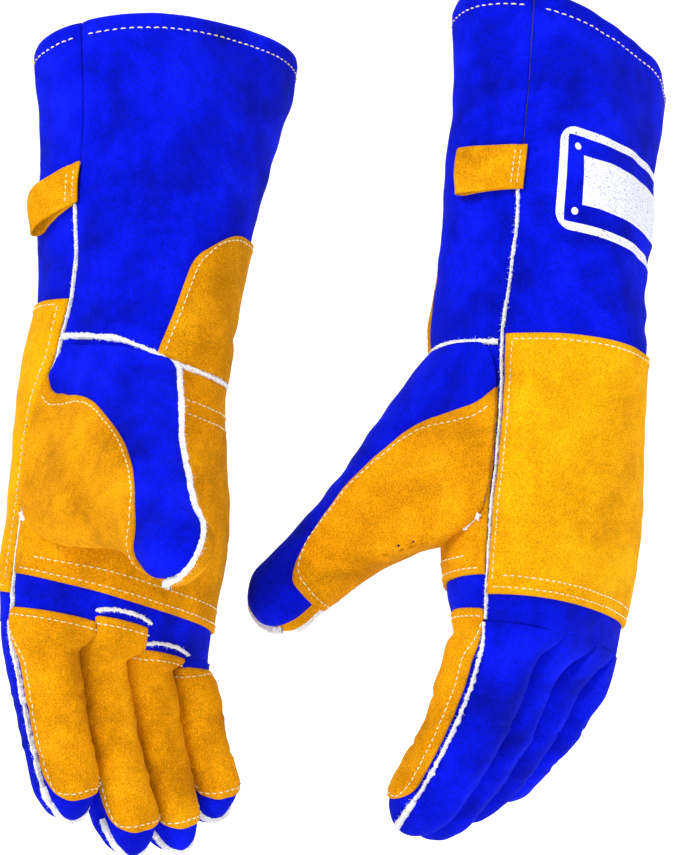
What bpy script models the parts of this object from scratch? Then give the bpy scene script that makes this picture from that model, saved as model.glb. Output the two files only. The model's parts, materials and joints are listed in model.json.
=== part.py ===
"""A pair of long-cuffed welding gloves in blue and yellow suede, hanging with the fingers down.

Units are metres, +Z points up the cuffs, and the origin is the eye of the left glove's hang loop. The viewer in
front stands at -Y: the right-hand glove shows its palm and the left-hand glove shows its back.

Both gloves come from one description in the hand's own directions, measured from the wrist: radial (towards the
thumb's side), palmar (out of the palm) and up (from the fingertips to the cuff). Each tube of the glove is a Skin,
a grid of points with their normals, and each leather piece is a shell: a patch of that grid between two heights
above the skin. Pieces that lie over each other use the same grid lines, so they stay parallel.
"""

import math

import bmesh
import bpy
import numpy as np
from mathutils import Matrix, Vector

# Leather and gaps.
LEATHER = 0.0013
LINING = 0.0009
GAP = 0.0004
WELT_HALF = 0.0011
WELT_PROUD = 0.0012
PATCH_LOW = GAP
PATCH_HIGH = GAP + LEATHER

# The cuff and hand, from the rim to the knuckles. Each row: height above the wrist, half width, half depth,
# radial shift, palmar shift, and how far the row climbs towards the thumb's side per metre.
HAND_ROWS = (
    (0.160, 0.0715, 0.0452, -0.0289, 0.0019, 0.00),
    (0.116, 0.0613, 0.0450, -0.0243, 0.0038, 0.04),
    (0.072, 0.0503, 0.0489, -0.0149, 0.0048, 0.12),
    (0.035, 0.0418, 0.0508, -0.0086, 0.0055, 0.22),
    (-0.004, 0.0384, 0.0522, -0.0022, 0.0050, 0.29),
    (-0.040, 0.0487, 0.0440, -0.0034, 0.0006, 0.29),
    (-0.080, 0.0542, 0.0395, -0.0003, 0.0008, 0.29),
    (-0.112, 0.0550, 0.0372, 0.0040, 0.0012, 0.28),
    (-0.138, 0.0556, 0.0308, 0.0062, 0.0008, 0.24),
)
CUFF_LEVELS = (0.160, 0.138, 0.116, 0.094, 0.072, 0.050, 0.027)
HAND_LEVELS = (*CUFF_LEVELS, -0.0075, -0.030, -0.052, -0.075, -0.098, -0.119, -0.138)
HAND_COLUMNS = 16
HAND_SQUARENESS = 2.3

# Where the pieces start and stop, as rows and columns of the hand's grid. Column 0 is the radial seam, column 8
# the ulnar seam, and the palm lies between them.
RIM, WRIST, WEB, PATCH_FOOT, KNUCKLES = 0, 7, 11, 12, 13
RADIAL, THENAR, ULNAR, ROUND = 0, 4, 8, 16
SIDE_PATCH_TOP = 4.75
WELT_TOP = 3.6

# Fingers.
FINGERS = ("index", "middle", "ring", "little")
FINGER_PITCH = 0.0272
FINGER_HALF_WIDTH = 0.0130
FINGER_HALF_DEPTH = 0.0212
FINGER_TIP_DEPTH = 0.0158
FINGER_TIP_WIDTH = 0.0118
FINGER_DOME = 0.80
FINGER_LEVELS = (0.0, 0.17, 0.36, 0.55, 0.72, 0.86, 0.95, 0.99)
FINGER_COLUMNS = 12
FINGER_SQUARENESS = 2.5
FINGER_LEAN = math.radians(8)
KNUCKLE_GAP = 0.008
KNUCKLE_PALMAR = 0.009
FINGER_PATCH_TOP = 0.55

# Thumb. Its root is a loop on the hand, and its far end is a round tip.
THUMB_LEVELS = (0.14, 0.28, 0.42, 0.56, 0.70, 0.82, 0.91, 0.97, 0.995)
THUMB_COLUMNS = 16
THUMB_TIP_WIDTH = 0.0185
THUMB_TIP_DEPTH = 0.0160
THUMB_DOME = 0.84
THUMB_SEAM, WEB_SEAM = 0, 8
THUMB_PATCH_EDGE = 4.6
THUMB_PIVOT_ALONG = 0.004

# Hang loop: a strip folded in half with both ends in the radial seam.
LOOP_HEIGHT = 0.076
LOOP_HALF_WIDTH = 0.010
LOOP_REACH = 0.030
LOOP_THICKNESS = 0.0014
LOOP_EYE = 0.0056
LOOP_START = 0.0022
LOOP_CLEAR = 0.0008
LOOP_FOLD_STEPS = 6

BLUE = (0.004, 0.006, 0.52, 1.0)
YELLOW = (0.83, 0.36, 0.012, 1.0)
WHITE = (0.80, 0.80, 0.76, 1.0)
COTTON = (0.72, 0.68, 0.58, 1.0)


class Side:
    """How one glove of the pair is turned, and how its fingers and thumb are held."""

    def __init__(self, name, x, radial, palmar, twist, lean, slant, cut, patch_top, fingers, thumb_tip, loop_side):
        self.name = name
        self.x = x
        self.radial = radial
        self.palmar = palmar
        self.twist = twist
        self.lean = lean
        self.slant = slant
        self.cut = cut
        self.patch_top = patch_top
        self.fingers = fingers
        self.thumb_tip = thumb_tip
        self.loop_side = loop_side

    def world(self, radial, palmar, up):
        """A point given in the hand's directions, in the gloves' shared frame."""
        across = radial * self.radial[0] + palmar * self.palmar[0]
        forward = radial * self.radial[1] + palmar * self.palmar[1]
        rise = max(up, 0.0) / HAND_ROWS[0][0]
        back = self.lean * HAND_ROWS[0][0] * rise**2 / 2
        tilt = up + rise * (self.lean * forward + self.slant * across - self.cut)
        return np.array((self.x + across, back - forward, tilt)) - ORIGIN

    def direction(self, radial, palmar, up):
        """A direction given in the hand's directions."""
        across = radial * self.radial[0] + palmar * self.palmar[0]
        forward = radial * self.radial[1] + palmar * self.palmar[1]
        return np.array((across, -forward, up))


def turned(degrees):
    """Cosine and sine of an angle in degrees."""
    return math.cos(math.radians(degrees)), math.sin(math.radians(degrees))


# Angle between the viewer and each hand, and from it the radial and palmar directions as (across, forward).
RIGHT_COS, RIGHT_SIN = turned(40)
LEFT_COS, LEFT_SIN = turned(30)

# Each finger: length beyond the knuckle row, bend at its root and bend at its tip, in degrees.
RIGHT = Side(
    "right",
    x=-0.1073,
    radial=(-RIGHT_COS, RIGHT_SIN),
    palmar=(RIGHT_SIN, RIGHT_COS),
    twist=20,
    lean=0.30,
    slant=0.11,
    cut=0.011,
    patch_top=6.05,
    fingers={
        "index": (0.093, 0, 16),
        "middle": (0.107, 3, 20),
        "ring": (0.101, 4, 22),
        "little": (0.081, 4, 24),
    },
    thumb_tip=(0.050, 0.114, -0.087),
    loop_side=-1,
)
LEFT = Side(
    "left",
    x=0.0986,
    radial=(-LEFT_SIN, LEFT_COS),
    palmar=(-LEFT_COS, -LEFT_SIN),
    twist=-20,
    lean=0.30,
    slant=-0.20,
    cut=0.0,
    patch_top=6.7,
    fingers={
        "index": (0.118, 17, 45),
        "middle": (0.119, 19, 48),
        "ring": (0.106, 21, 50),
        "little": (0.090, 25, 53),
    },
    thumb_tip=(0.056, 0.112, -0.115),
    loop_side=1,
)
ORIGIN = np.zeros(3)


def smooth_rows(rows, at):
    """The row at a height, on a smooth curve through the given rows."""
    table = np.array(rows)
    heights = table[:, 0]
    slopes = np.gradient(table, heights, axis=0)
    k = int(np.clip(np.searchsorted(-heights, -at, side="right") - 1, 0, len(rows) - 2))
    span = heights[k + 1] - heights[k]
    f = np.clip((at - heights[k]) / span, 0.0, 1.0)
    start, end = table[k], table[k + 1]
    ease = f * f * (3 - 2 * f)
    bow = f * (1 - f) * span * ((1 - f) * slopes[k] - f * slopes[k + 1])
    return start + (end - start) * ease + bow


def oval(half_width, half_depth, angle, squareness):
    """A point on an oval whose corners are a little fuller than an ellipse's."""
    c, s = math.cos(angle), math.sin(angle)
    power = 2 / squareness
    return (
        half_width * math.copysign(abs(c) ** power, c),
        half_depth * math.copysign(abs(s) ** power, s),
    )


class Skin:
    """A grid of points on a tube, with the outward normal at each. Rows run along it and columns round it."""

    def __init__(self, side, grid):
        """grid[row][column] holds points in the hand's directions, and the columns close on themselves."""
        rows = [[side.world(*point) for point in row] for row in grid]
        self.points = np.array(rows)
        along = np.gradient(self.points, axis=0)
        around = np.roll(self.points, -1, axis=1) - np.roll(self.points, 1, axis=1)
        normals = np.cross(around, along)
        centres = self.points.mean(axis=1, keepdims=True)
        if (normals * (self.points - centres)).sum() < 0:
            normals = -normals
        self.normals = normals / np.linalg.norm(normals, axis=2, keepdims=True)

    def at(self, row, column, lift):
        """The point at a height above the skin, with row and column as fractions between grid lines."""
        i = min(int(row), len(self.points) - 2)
        j = math.floor(column)
        f, g = row - i, column - j
        count = self.points.shape[1]
        cells = (
            (i, j % count, (1 - f) * (1 - g)),
            (i, (j + 1) % count, (1 - f) * g),
            (i + 1, j % count, f * (1 - g)),
            (i + 1, (j + 1) % count, f * g),
        )
        return sum(w * (self.points[a, b] + lift * self.normals[a, b]) for a, b, w in cells)

    def column_step(self, row, column):
        """The distance between two neighbouring columns here."""
        return float(np.linalg.norm(self.at(row, column + 0.5, 0) - self.at(row, column - 0.5, 0)))


def hand_point(side, level, angle):
    """A point on the cuff or the hand. The angle runs from the radial seam over the palm."""
    up, width, depth, radial, palmar, climb = smooth_rows(HAND_ROWS, level)
    rise = max(level, 0.0) / HAND_ROWS[0][0]
    turn = angle + math.radians(side.twist) * rise
    across, out = oval(width, depth, turn, HAND_SQUARENESS)
    return radial + across, palmar + out, level + climb * across


def hand_skin(side):
    step = 2 * math.pi / HAND_COLUMNS
    grid = [[hand_point(side, level, j * step) for j in range(HAND_COLUMNS)] for level in HAND_LEVELS]
    return Skin(side, grid)


def finger_root(number):
    """The middle of a finger where it leaves the knuckle row."""
    _, _, _, radial, palmar, climb = smooth_rows(HAND_ROWS, HAND_LEVELS[KNUCKLES])
    across = FINGER_PITCH * (1.5 - number)
    return radial + across, palmar, HAND_LEVELS[KNUCKLES] + climb * across


def finger_frame(bend):
    """A finger's direction and its palmar direction, for a bend towards the palm."""
    c, s = math.cos(bend), math.sin(bend)
    along = np.array((-math.sin(FINGER_LEAN) * c, s, -math.cos(FINGER_LEAN) * c))
    palmar = np.array((math.sin(FINGER_LEAN) * s, c, math.cos(FINGER_LEAN) * s))
    return along, palmar


def finger_pivot(number):
    """The point that a finger turns about, half way across the knuckle gap and towards the palm."""
    along, palmar = finger_frame(0.0)
    return np.array(finger_root(number)) + along * KNUCKLE_GAP / 2 + palmar * KNUCKLE_PALMAR


def finger_centre(side, number, fraction):
    """The centre line of a finger, as a curve whose bend grows from root to tip."""
    length, root_bend, tip_bend = side.fingers[FINGERS[number]]
    steps = 24
    point = np.array(finger_root(number))
    for k in range(steps):
        middle = (k + 0.5) / steps * fraction
        bend = math.radians(root_bend + (tip_bend - root_bend) * middle)
        point = point + finger_frame(bend)[0] * length * fraction / steps
    bend = math.radians(root_bend + (tip_bend - root_bend) * fraction)
    return point, bend


def dome(fraction, start):
    """How much of a tube's width is left as it rounds off into its tip."""
    if fraction <= start:
        return 1.0
    return math.sqrt(max(0.0, 1 - ((fraction - start) / (1 - start)) ** 2))


def finger_skin(side, number):
    length = side.fingers[FINGERS[number]][0]
    start = KNUCKLE_GAP / length
    across = np.array((math.cos(FINGER_LEAN), 0.0, -math.sin(FINGER_LEAN)))
    grid = []
    for level in FINGER_LEVELS:
        fraction = start + (1 - start) * level
        centre, bend = finger_centre(side, number, fraction)
        palmar = finger_frame(bend * min(1.0, level / FINGER_LEVELS[2]))[1]
        left = dome(fraction, FINGER_DOME)
        width = (FINGER_HALF_WIDTH + (FINGER_TIP_WIDTH - FINGER_HALF_WIDTH) * fraction**2) * left
        depth = (FINGER_HALF_DEPTH + (FINGER_TIP_DEPTH - FINGER_HALF_DEPTH) * fraction) * left
        row = []
        for j in range(FINGER_COLUMNS):
            a, b = oval(width, depth, 2 * math.pi * j / FINGER_COLUMNS, FINGER_SQUARENESS)
            row.append(centre + a * across + b * palmar)
        grid.append(row)
    return Skin(side, grid)


def thumb_root(side, turn):
    """The loop on the hand that the thumb grows out of, from the wrist's thenar corner round the dorsal side."""
    corners = (
        (0.00, 80, -0.0075),
        (0.25, 4, -0.0075),
        (0.375, 4, -0.093),
        (0.50, 64, -0.100),
        (0.75, 78, -0.055),
        (1.00, 80, -0.0075),
    )
    for (v0, a0, h0), (v1, a1, h1) in zip(corners, corners[1:]):
        if turn <= v1:
            f = (turn - v0) / (v1 - v0)
            return np.array(hand_point(side, h0 + (h1 - h0) * f, math.radians(a0 + (a1 - a0) * f)))
    return np.array(hand_point(side, corners[0][2], math.radians(corners[0][1])))


def thumb_frame(side):
    """The thumb's tip centre, its direction, the direction of its palm-side seam, and its dorsal direction."""
    tip = np.array(side.thumb_tip)
    root = np.mean([thumb_root(side, k / THUMB_COLUMNS) for k in range(THUMB_COLUMNS)], axis=0)
    along = (tip - root) / np.linalg.norm(tip - root)
    seam = np.array((-0.45, 0.0, 1.0))
    seam = seam - along * (seam @ along)
    seam = seam / np.linalg.norm(seam)
    dorsal = np.cross(seam, along)
    dorsal = dorsal * math.copysign(1.0, dorsal[0])
    return tip, along, seam, dorsal, root


def thumb_pivot(side):
    """The point that the thumb turns about, in the middle of its root."""
    _, along, _, _, root = thumb_frame(side)
    return root + along * THUMB_PIVOT_ALONG


def thumb_point(side, turn, fraction):
    """A point on the thumb: a smooth run from its root on the hand to the ring at its tip, then a dome."""
    tip, along, seam, dorsal, root = thumb_frame(side)
    c, s = math.cos(2 * math.pi * turn), math.sin(2 * math.pi * turn)
    ring = THUMB_TIP_WIDTH * c * seam + THUMB_TIP_DEPTH * s * dorsal
    start = thumb_root(side, turn)
    length = np.linalg.norm(tip - root)
    run = min(fraction / THUMB_DOME, 1.0)
    outward = start - np.array(smooth_rows(HAND_ROWS, -0.048))[[3, 4, 0]] * (1, 1, 0)
    outward[2] = 0.0
    outward = outward / np.linalg.norm(outward)
    near = start + (0.15 * outward + 0.85 * along) * 0.28 * length
    far = tip + ring - along * 0.45 * length
    end = tip + ring
    f = run
    point = (1 - f) ** 3 * start + 3 * (1 - f) ** 2 * f * near + 3 * (1 - f) * f**2 * far + f**3 * end
    if fraction <= THUMB_DOME:
        return point
    left = dome(fraction, THUMB_DOME)
    beyond = (fraction - THUMB_DOME) / (1 - THUMB_DOME)
    return tip + ring * left + along * THUMB_TIP_WIDTH * beyond


def thumb_skin(side):
    grid = [
        [thumb_point(side, j / THUMB_COLUMNS, level) for j in range(THUMB_COLUMNS)]
        for level in THUMB_LEVELS
    ]
    return Skin(side, grid)


def material(name, colour, roughness):
    made = bpy.data.materials.new(name)
    made.use_nodes = True
    shader = made.node_tree.nodes["Principled BSDF"]
    shader.inputs["Base Color"].default_value = colour
    shader.inputs["Roughness"].default_value = roughness
    shader.inputs["Metallic"].default_value = 0.0
    return made


def add_object(name, bm, colour, roughness=0.9):
    """A named object from a mesh, with a material of its own."""
    bmesh.ops.remove_doubles(bm, verts=bm.verts, dist=1e-5)
    bmesh.ops.recalc_face_normals(bm, faces=bm.faces)
    mesh = bpy.data.meshes.new(name)
    bm.to_mesh(mesh)
    bm.free()
    mesh.shade_smooth()
    mesh.set_sharp_from_angle(angle=math.radians(50))
    made = bpy.data.objects.new(name, mesh)
    mesh.materials.append(material(name, colour, roughness))
    bpy.context.scene.collection.objects.link(made)
    return made


def shell(name, skin, rows, columns, inner, outer, colour, window=None, closed=False):
    """A leather piece: the grid between the given rows and columns, solid from the inner to the outer height.

    window gives the rows and columns of a rectangle that is left open, as (rows, columns).
    """
    bm = bmesh.new()
    outside = [[bm.verts.new(skin.at(i, j, outer)) for j in columns] for i in rows]
    inside = [[bm.verts.new(skin.at(i, j, inner)) for j in columns] for i in rows]
    across = len(columns) if closed else len(columns) - 1
    uses = {}
    for a in range(len(rows) - 1):
        for b in range(across):
            nxt = (b + 1) % len(columns)
            if window and in_window(rows[a : a + 2], columns[b : b + 2], window):
                continue
            loop = [(a, b), (a, nxt), (a + 1, nxt), (a + 1, b)]
            for face in (loop[:3], [loop[0], loop[2], loop[3]]):
                bm.faces.new([outside[i][j] for i, j in face])
                bm.faces.new([inside[i][j] for i, j in reversed(face)])
            for start, end in zip(loop, loop[1:] + loop[:1]):
                uses.setdefault(frozenset((start, end)), []).append((start, end))
    for edges in uses.values():
        if len(edges) == 1:
            (i, j), (k, m) = edges[0]
            bm.faces.new((outside[k][m], outside[i][j], inside[i][j], inside[k][m]))
    loose = [vertex for vertex in bm.verts if not vertex.link_faces]
    bmesh.ops.delete(bm, geom=loose, context="VERTS")
    return add_object(name, bm, colour)


def in_window(rows, columns, window):
    (top, bottom), (first, last) = window
    row = sum(rows) / 2
    column = sum(columns) / len(columns)
    return top <= row <= bottom and first <= column <= last


def spaced(start, end, start_inset=0.0, end_inset=0.0):
    """Grid lines from start to end, with whole lines between and the ends pulled in by a fraction of a step."""
    first, last = start + start_inset, end - end_inset
    between = [k for k in range(math.ceil(first + 0.05), math.floor(last - 0.05) + 1)]
    return [first, *between, last]


def inset(skin, row, column, distance):
    """A distance as a fraction of the step between columns."""
    return distance / skin.column_step(row, column)


def cuff_and_hand(side, skin):
    """The pieces sewn round the cuff and the hand."""
    name = side.name
    seam = inset(skin, WRIST, RADIAL, WELT_HALF + GAP)
    plain = inset(skin, WRIST, ULNAR, GAP)
    row_gap = 0.035
    back = spaced(ULNAR, ROUND, plain, seam)
    palm = spaced(RADIAL, ULNAR, seam, plain)
    shell(f"{name}_back_panel", skin, spaced(RIM, KNUCKLES), back, -LEATHER, 0, BLUE)
    cuff = spaced(RIM, WRIST, 0, row_gap)
    shell(f"{name}_cuff_palm_panel", skin, cuff, palm, -LEATHER, 0, BLUE)
    window = ((WRIST, WEB), (RADIAL, THENAR))
    hand = spaced(WRIST, KNUCKLES, row_gap)
    shell(f"{name}_palm_panel", skin, hand, palm, -LEATHER, 0, BLUE, window)
    hand = spaced(WRIST, PATCH_FOOT, row_gap)
    shell(f"{name}_palm_patch", skin, hand, palm, PATCH_LOW, PATCH_HIGH, YELLOW, window)
    rows = spaced(side.patch_top, PATCH_FOOT)
    shell(f"{name}_back_patch", skin, rows, back, PATCH_LOW, PATCH_HIGH, YELLOW)
    rows = spaced(SIDE_PATCH_TOP, WRIST, 0, row_gap)
    columns = spaced(THENAR - 0.3, ULNAR, 0, plain)
    shell(f"{name}_cuff_side_patch", skin, rows, columns, PATCH_LOW, PATCH_HIGH, YELLOW)
    half = inset(skin, WRIST, RADIAL, WELT_HALF)
    rows = spaced(WELT_TOP, KNUCKLES)
    shell(f"{name}_side_welt", skin, rows, [-half, 0, half], -LEATHER, WELT_PROUD, WHITE)
    rows = [WRIST - row_gap + 0.012, WRIST + row_gap - 0.012]
    shell(f"{name}_wrist_welt", skin, rows, palm, -LEATHER, WELT_PROUD, WHITE)
    rows = spaced(RIM, KNUCKLES, 0.03, 0.02)
    whole = list(range(HAND_COLUMNS))
    inner = -LEATHER - GAP - LINING
    open_side = ((WRIST, WEB), (RADIAL, THENAR))
    shell(f"{name}_lining", skin, rows, whole, inner, -LEATHER - GAP, COTTON, open_side, closed=True)


def finger(side, number):
    """One finger's back, front and wear patch, and on the index finger the welt that runs on from the cuff."""
    skin = finger_skin(side, number)
    name = f"{side.name}_{FINGERS[number]}"
    last = len(FINGER_LEVELS) - 1
    half_round = FINGER_COLUMNS // 2
    welt = inset(skin, 2, 0, WELT_HALF + GAP) if number == 0 else inset(skin, 2, 0, GAP)
    plain = inset(skin, 2, half_round, GAP)
    rows = spaced(0, last)
    front = spaced(0, half_round, welt, plain)
    back = spaced(half_round, FINGER_COLUMNS, plain, welt)
    shell(f"{name}_front_panel", skin, rows, front, -LEATHER, 0, BLUE)
    shell(f"{name}_back_panel", skin, rows, back, -LEATHER, 0, BLUE)
    rows = spaced(FINGER_PATCH_TOP, last, 0, 1.6)
    columns = spaced(1, half_round - 1)
    shell(f"{name}_patch", skin, rows, columns, PATCH_LOW, PATCH_HIGH - 0.0004, YELLOW)
    if number == 0:
        half = inset(skin, 2, 0, WELT_HALF)
        rows = spaced(0, last)
        shell(f"{name}_welt", skin, rows, [-half, 0, half], -LEATHER, WELT_PROUD, WHITE)


def thumb(side):
    """The thumb's back, front, wear patch and lining, and the welt down its palm-side seam."""
    skin = thumb_skin(side)
    name = f"{side.name}_thumb"
    last = len(THUMB_LEVELS) - 1
    welt = inset(skin, 3, THUMB_SEAM, WELT_HALF + GAP)
    plain = inset(skin, 3, WEB_SEAM, GAP)
    rows = spaced(0, last)
    back = spaced(THUMB_SEAM, WEB_SEAM, welt, plain)
    front = spaced(WEB_SEAM, THUMB_COLUMNS, plain, welt)
    shell(f"{name}_back_panel", skin, rows, back, -LEATHER, 0, BLUE)
    shell(f"{name}_front_panel", skin, rows, front, -LEATHER, 0, YELLOW)
    columns = spaced(THUMB_PATCH_EDGE, WEB_SEAM, 0, plain)
    shell(f"{name}_patch", skin, spaced(0, 6), columns, PATCH_LOW, PATCH_HIGH, YELLOW)
    half = inset(skin, 3, THUMB_SEAM, WELT_HALF)
    shell(f"{name}_welt", skin, rows, [-half, 0, half], -LEATHER, WELT_PROUD, WHITE)
    inner = -LEATHER - GAP - LINING
    rows = spaced(0, last - 1)
    whole = list(range(THUMB_COLUMNS))
    shell(f"{name}_lining", skin, rows, whole, inner, -LEATHER - GAP, COTTON, closed=True)


def loop_profile(pitch):
    """The folded strip's outline, as (distance from the seam, height above the cuff), outside then inside.

    pitch is the cuff's column step: the straight runs get a point on each grid line that they cross.
    """
    middle = LOOP_CLEAR + LOOP_THICKNESS + LOOP_EYE / 2
    bend = LOOP_REACH - LOOP_EYE / 2 - LOOP_THICKNESS
    straight = [LOOP_START, *[k * pitch for k in range(1, 4) if LOOP_START < k * pitch < bend]]
    outline = []
    for radius in (LOOP_EYE / 2 + LOOP_THICKNESS, LOOP_EYE / 2):
        run = [(distance, middle - radius) for distance in straight]
        for k in range(LOOP_FOLD_STEPS + 1):
            angle = math.pi * (k / LOOP_FOLD_STEPS - 0.5)
            run.append((bend + radius * math.cos(angle), middle + radius * math.sin(angle)))
        run.extend((distance, middle + radius) for distance in reversed(straight))
        outline.append(run)
    return outline


def loop_row():
    """The grid row at the hang loop's height."""
    levels = np.array(HAND_LEVELS)
    return float(np.interp(-LOOP_HEIGHT, -levels, np.arange(len(levels))))


def hang_loop(side, skin):
    middle = loop_row()
    half = LOOP_HALF_WIDTH / (HAND_LEVELS[3] - HAND_LEVELS[4])
    pitch = skin.column_step(middle, side.loop_side * 0.5)
    outer, inner = loop_profile(pitch)
    bm = bmesh.new()
    rings = [
        [
            bm.verts.new(skin.at(row, side.loop_side * distance / pitch, height))
            for distance, height in outer + inner[::-1]
        ]
        for row in spaced(middle - half, middle + half)
    ]
    count = len(rings[0])
    for ring, following in zip(rings, rings[1:]):
        for k in range(count):
            nxt = (k + 1) % count
            bm.faces.new((ring[k], ring[nxt], following[nxt], following[k]))
    for ring in (rings[0], rings[-1]):
        for k in range(count // 2 - 1):
            bm.faces.new((ring[k], ring[k + 1], ring[count - 2 - k], ring[count - 1 - k]))
    add_object(f"{side.name}_hang_loop", bm, YELLOW)


def loop_eye(side):
    """The middle of the hang loop's eye, and the seam line that the loop turns about."""
    skin = hand_skin(side)
    middle = loop_row()
    pitch = skin.column_step(middle, side.loop_side * 0.5)
    height = LOOP_CLEAR + LOOP_THICKNESS + LOOP_EYE / 2
    eye = skin.at(middle, side.loop_side * LOOP_REACH / 2 / pitch, height)
    return eye, skin.at(middle - 0.4, 0, 0), skin.at(middle + 0.4, 0, 0)


def hang_on(pivot_name, point, nodes):
    """An empty on a joint's axis, as the parent of the pieces that turn about it."""
    pivot = bpy.data.objects.new(pivot_name, None)
    pivot.location = point
    bpy.context.scene.collection.objects.link(pivot)
    for node in nodes:
        child = bpy.data.objects[node]
        child.parent = pivot
        child.matrix_parent_inverse = Matrix.Translation(-Vector(point))


def pivots(side):
    """The joints of one glove: four knuckles, the thumb's root and the hang loop's seam."""
    name = side.name
    for number, finger_name in enumerate(FINGERS):
        nodes = [f"{name}_{finger_name}_{piece}" for piece in ("back_panel", "front_panel", "patch")]
        if number == 0:
            nodes.append(f"{name}_{finger_name}_welt")
        hang_on(f"{name}_{finger_name}_pivot", side.world(*finger_pivot(number)), nodes)
    nodes = [f"{name}_thumb_{piece}" for piece in ("back_panel", "front_panel", "patch", "welt", "lining")]
    hang_on(f"{name}_thumb_pivot", side.world(*thumb_pivot(side)), nodes)
    _, above, below = loop_eye(side)
    hang_on(f"{name}_hang_loop_pivot", (above + below) / 2, [f"{name}_hang_loop"])


def clear_scene():
    for found in list(bpy.data.objects):
        bpy.data.objects.remove(found, do_unlink=True)


def build():
    for side in (RIGHT, LEFT):
        skin = hand_skin(side)
        cuff_and_hand(side, skin)
        hang_loop(side, skin)
        thumb(side)
        for number in range(len(FINGERS)):
            finger(side, number)
        pivots(side)


ORIGIN = loop_eye(LEFT)[0]
clear_scene()
build()
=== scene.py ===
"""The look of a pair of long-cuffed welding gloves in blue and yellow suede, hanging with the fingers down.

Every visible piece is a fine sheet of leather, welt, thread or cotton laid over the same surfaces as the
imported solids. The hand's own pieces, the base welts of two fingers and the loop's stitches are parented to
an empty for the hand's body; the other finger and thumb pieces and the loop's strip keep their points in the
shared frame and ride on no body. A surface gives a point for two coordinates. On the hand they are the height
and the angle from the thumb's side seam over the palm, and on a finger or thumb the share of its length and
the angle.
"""

import json
import math
from functools import partial

import bpy
import numpy as np
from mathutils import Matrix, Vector


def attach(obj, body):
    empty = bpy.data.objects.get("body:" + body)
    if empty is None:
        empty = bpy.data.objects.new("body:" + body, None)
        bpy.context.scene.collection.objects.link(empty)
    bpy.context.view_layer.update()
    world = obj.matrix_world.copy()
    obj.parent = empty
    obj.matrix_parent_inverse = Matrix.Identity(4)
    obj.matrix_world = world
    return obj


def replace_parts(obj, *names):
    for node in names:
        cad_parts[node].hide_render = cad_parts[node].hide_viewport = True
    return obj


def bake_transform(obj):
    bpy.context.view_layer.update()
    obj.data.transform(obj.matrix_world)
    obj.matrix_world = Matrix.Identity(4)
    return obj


# The gloves' shape, as the solids have it. Each row: height above the wrist, half width, half depth, radial
# shift, palmar shift, and how far the row climbs towards the thumb's side per metre.
HAND_ROWS = (
    (0.160, 0.0715, 0.0452, -0.0289, 0.0019, 0.00),
    (0.116, 0.0613, 0.0450, -0.0243, 0.0038, 0.04),
    (0.072, 0.0503, 0.0489, -0.0149, 0.0048, 0.12),
    (0.035, 0.0418, 0.0508, -0.0086, 0.0055, 0.22),
    (-0.004, 0.0384, 0.0522, -0.0022, 0.0050, 0.29),
    (-0.040, 0.0487, 0.0440, -0.0034, 0.0006, 0.29),
    (-0.080, 0.0542, 0.0395, -0.0003, 0.0008, 0.29),
    (-0.112, 0.0550, 0.0372, 0.0040, 0.0012, 0.28),
    (-0.138, 0.0556, 0.0308, 0.0062, 0.0008, 0.24),
)
RIM = 0.160
WRIST = -0.0075
KNUCKLES = -0.138
HAND_SQUARENESS = 2.3
CUFF_LEAN = 0.30
FINGERS = ("index", "middle", "ring", "little")
FINGER_PITCH = 0.0272
FINGER_HALF_WIDTH = 0.0134
FINGER_HALF_DEPTH = 0.0215
FINGER_TIP_DEPTH = 0.0160
FINGER_TIP_WIDTH = 0.0120
FINGER_DOME = 0.80
FINGER_SQUARENESS = 2.35
FINGER_LEAN = math.radians(8)
# How far past the knuckle row a finger turns from its slice of the hand into a tube of its own.
FINGER_SPREAD = 0.016
KNUCKLE_GAP = 0.008
KNUCKLE_PALMAR = 0.009
THUMB_TIP_WIDTH = 0.0185
THUMB_TIP_DEPTH = 0.0160
THUMB_DOME = 0.84
THUMB_SEAM_LEAN = -0.45
# The thumb leaves its root partly along its own line and partly away from the hand's middle at this height.
# The pulls are the shares of its length over which its ends keep their directions.
THUMB_MIDDLE = -0.048
THUMB_FLARE = 0.15
THUMB_ROOT_PULL = 0.28
THUMB_TIP_PULL = 0.45
# The loop on the hand that the thumb grows from. Each row: share of a turn, angle on the hand, height.
THUMB_ROOT = (
    (0.00, 80, -0.0075),
    (0.25, 1.8, -0.0075),
    (0.375, 1.8, -0.093),
    (0.50, 64, -0.100),
    (0.75, 78, -0.055),
    (1.00, 80, -0.0075),
)
THUMB_ROOT_ROUNDING = 0.014
THUMB_ROOT_LIFT = 0.0020

# About how long one radian round each surface is.
HAND_RADIUS = 0.04
THUMB_RADIUS = 0.020
FINGER_RADIUS = 0.017

# Leather. Heights are above the surface, and a patch's edge is turned down to a foot just below it. A limb is
# a finger or the thumb, and a cell is the size of a patch's faces.
LEATHER = 0.0014
LINING_TOP = LEATHER + 0.0002
LINING_DEPTH = 0.0022
PATCH = 0.0017
PATCH_FOOT = -0.0003
FINGER_PATCH = PATCH - 0.0004
LIMB_PATCH_FOOT = -0.0004
EDGE = 0.0007
SEAM_DIP = 0.0011
SEAM_WIDTH = 0.0022
LIMB_SEAM_DIP = 0.0009
WEB_DIP = 0.0026
HAND_CELL = 0.0020
THUMB_CELL = 0.0018
FINGER_CELL = 0.0016
# Creases in the hand. Each row: its start and end as height and angle, its depth and its width.
HAND_FOLDS = (
    ((0.018, 2.0), (0.006, 2.9), 0.0009, 0.0035),
    ((0.030, 3.6), (0.014, 4.6), 0.0008, 0.0040),
    ((-0.030, 1.7), (-0.052, 2.6), 0.0007, 0.0035),
    ((-0.062, 2.0), (-0.085, 2.9), 0.0007, 0.0032),
    ((0.060, 3.9), (0.045, 5.0), 0.0007, 0.0050),
)
# How far past the knuckle row each finger's patch starts.
PATCH_TOPS = (-0.006, -0.009, 0.001, 0.004)
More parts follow.
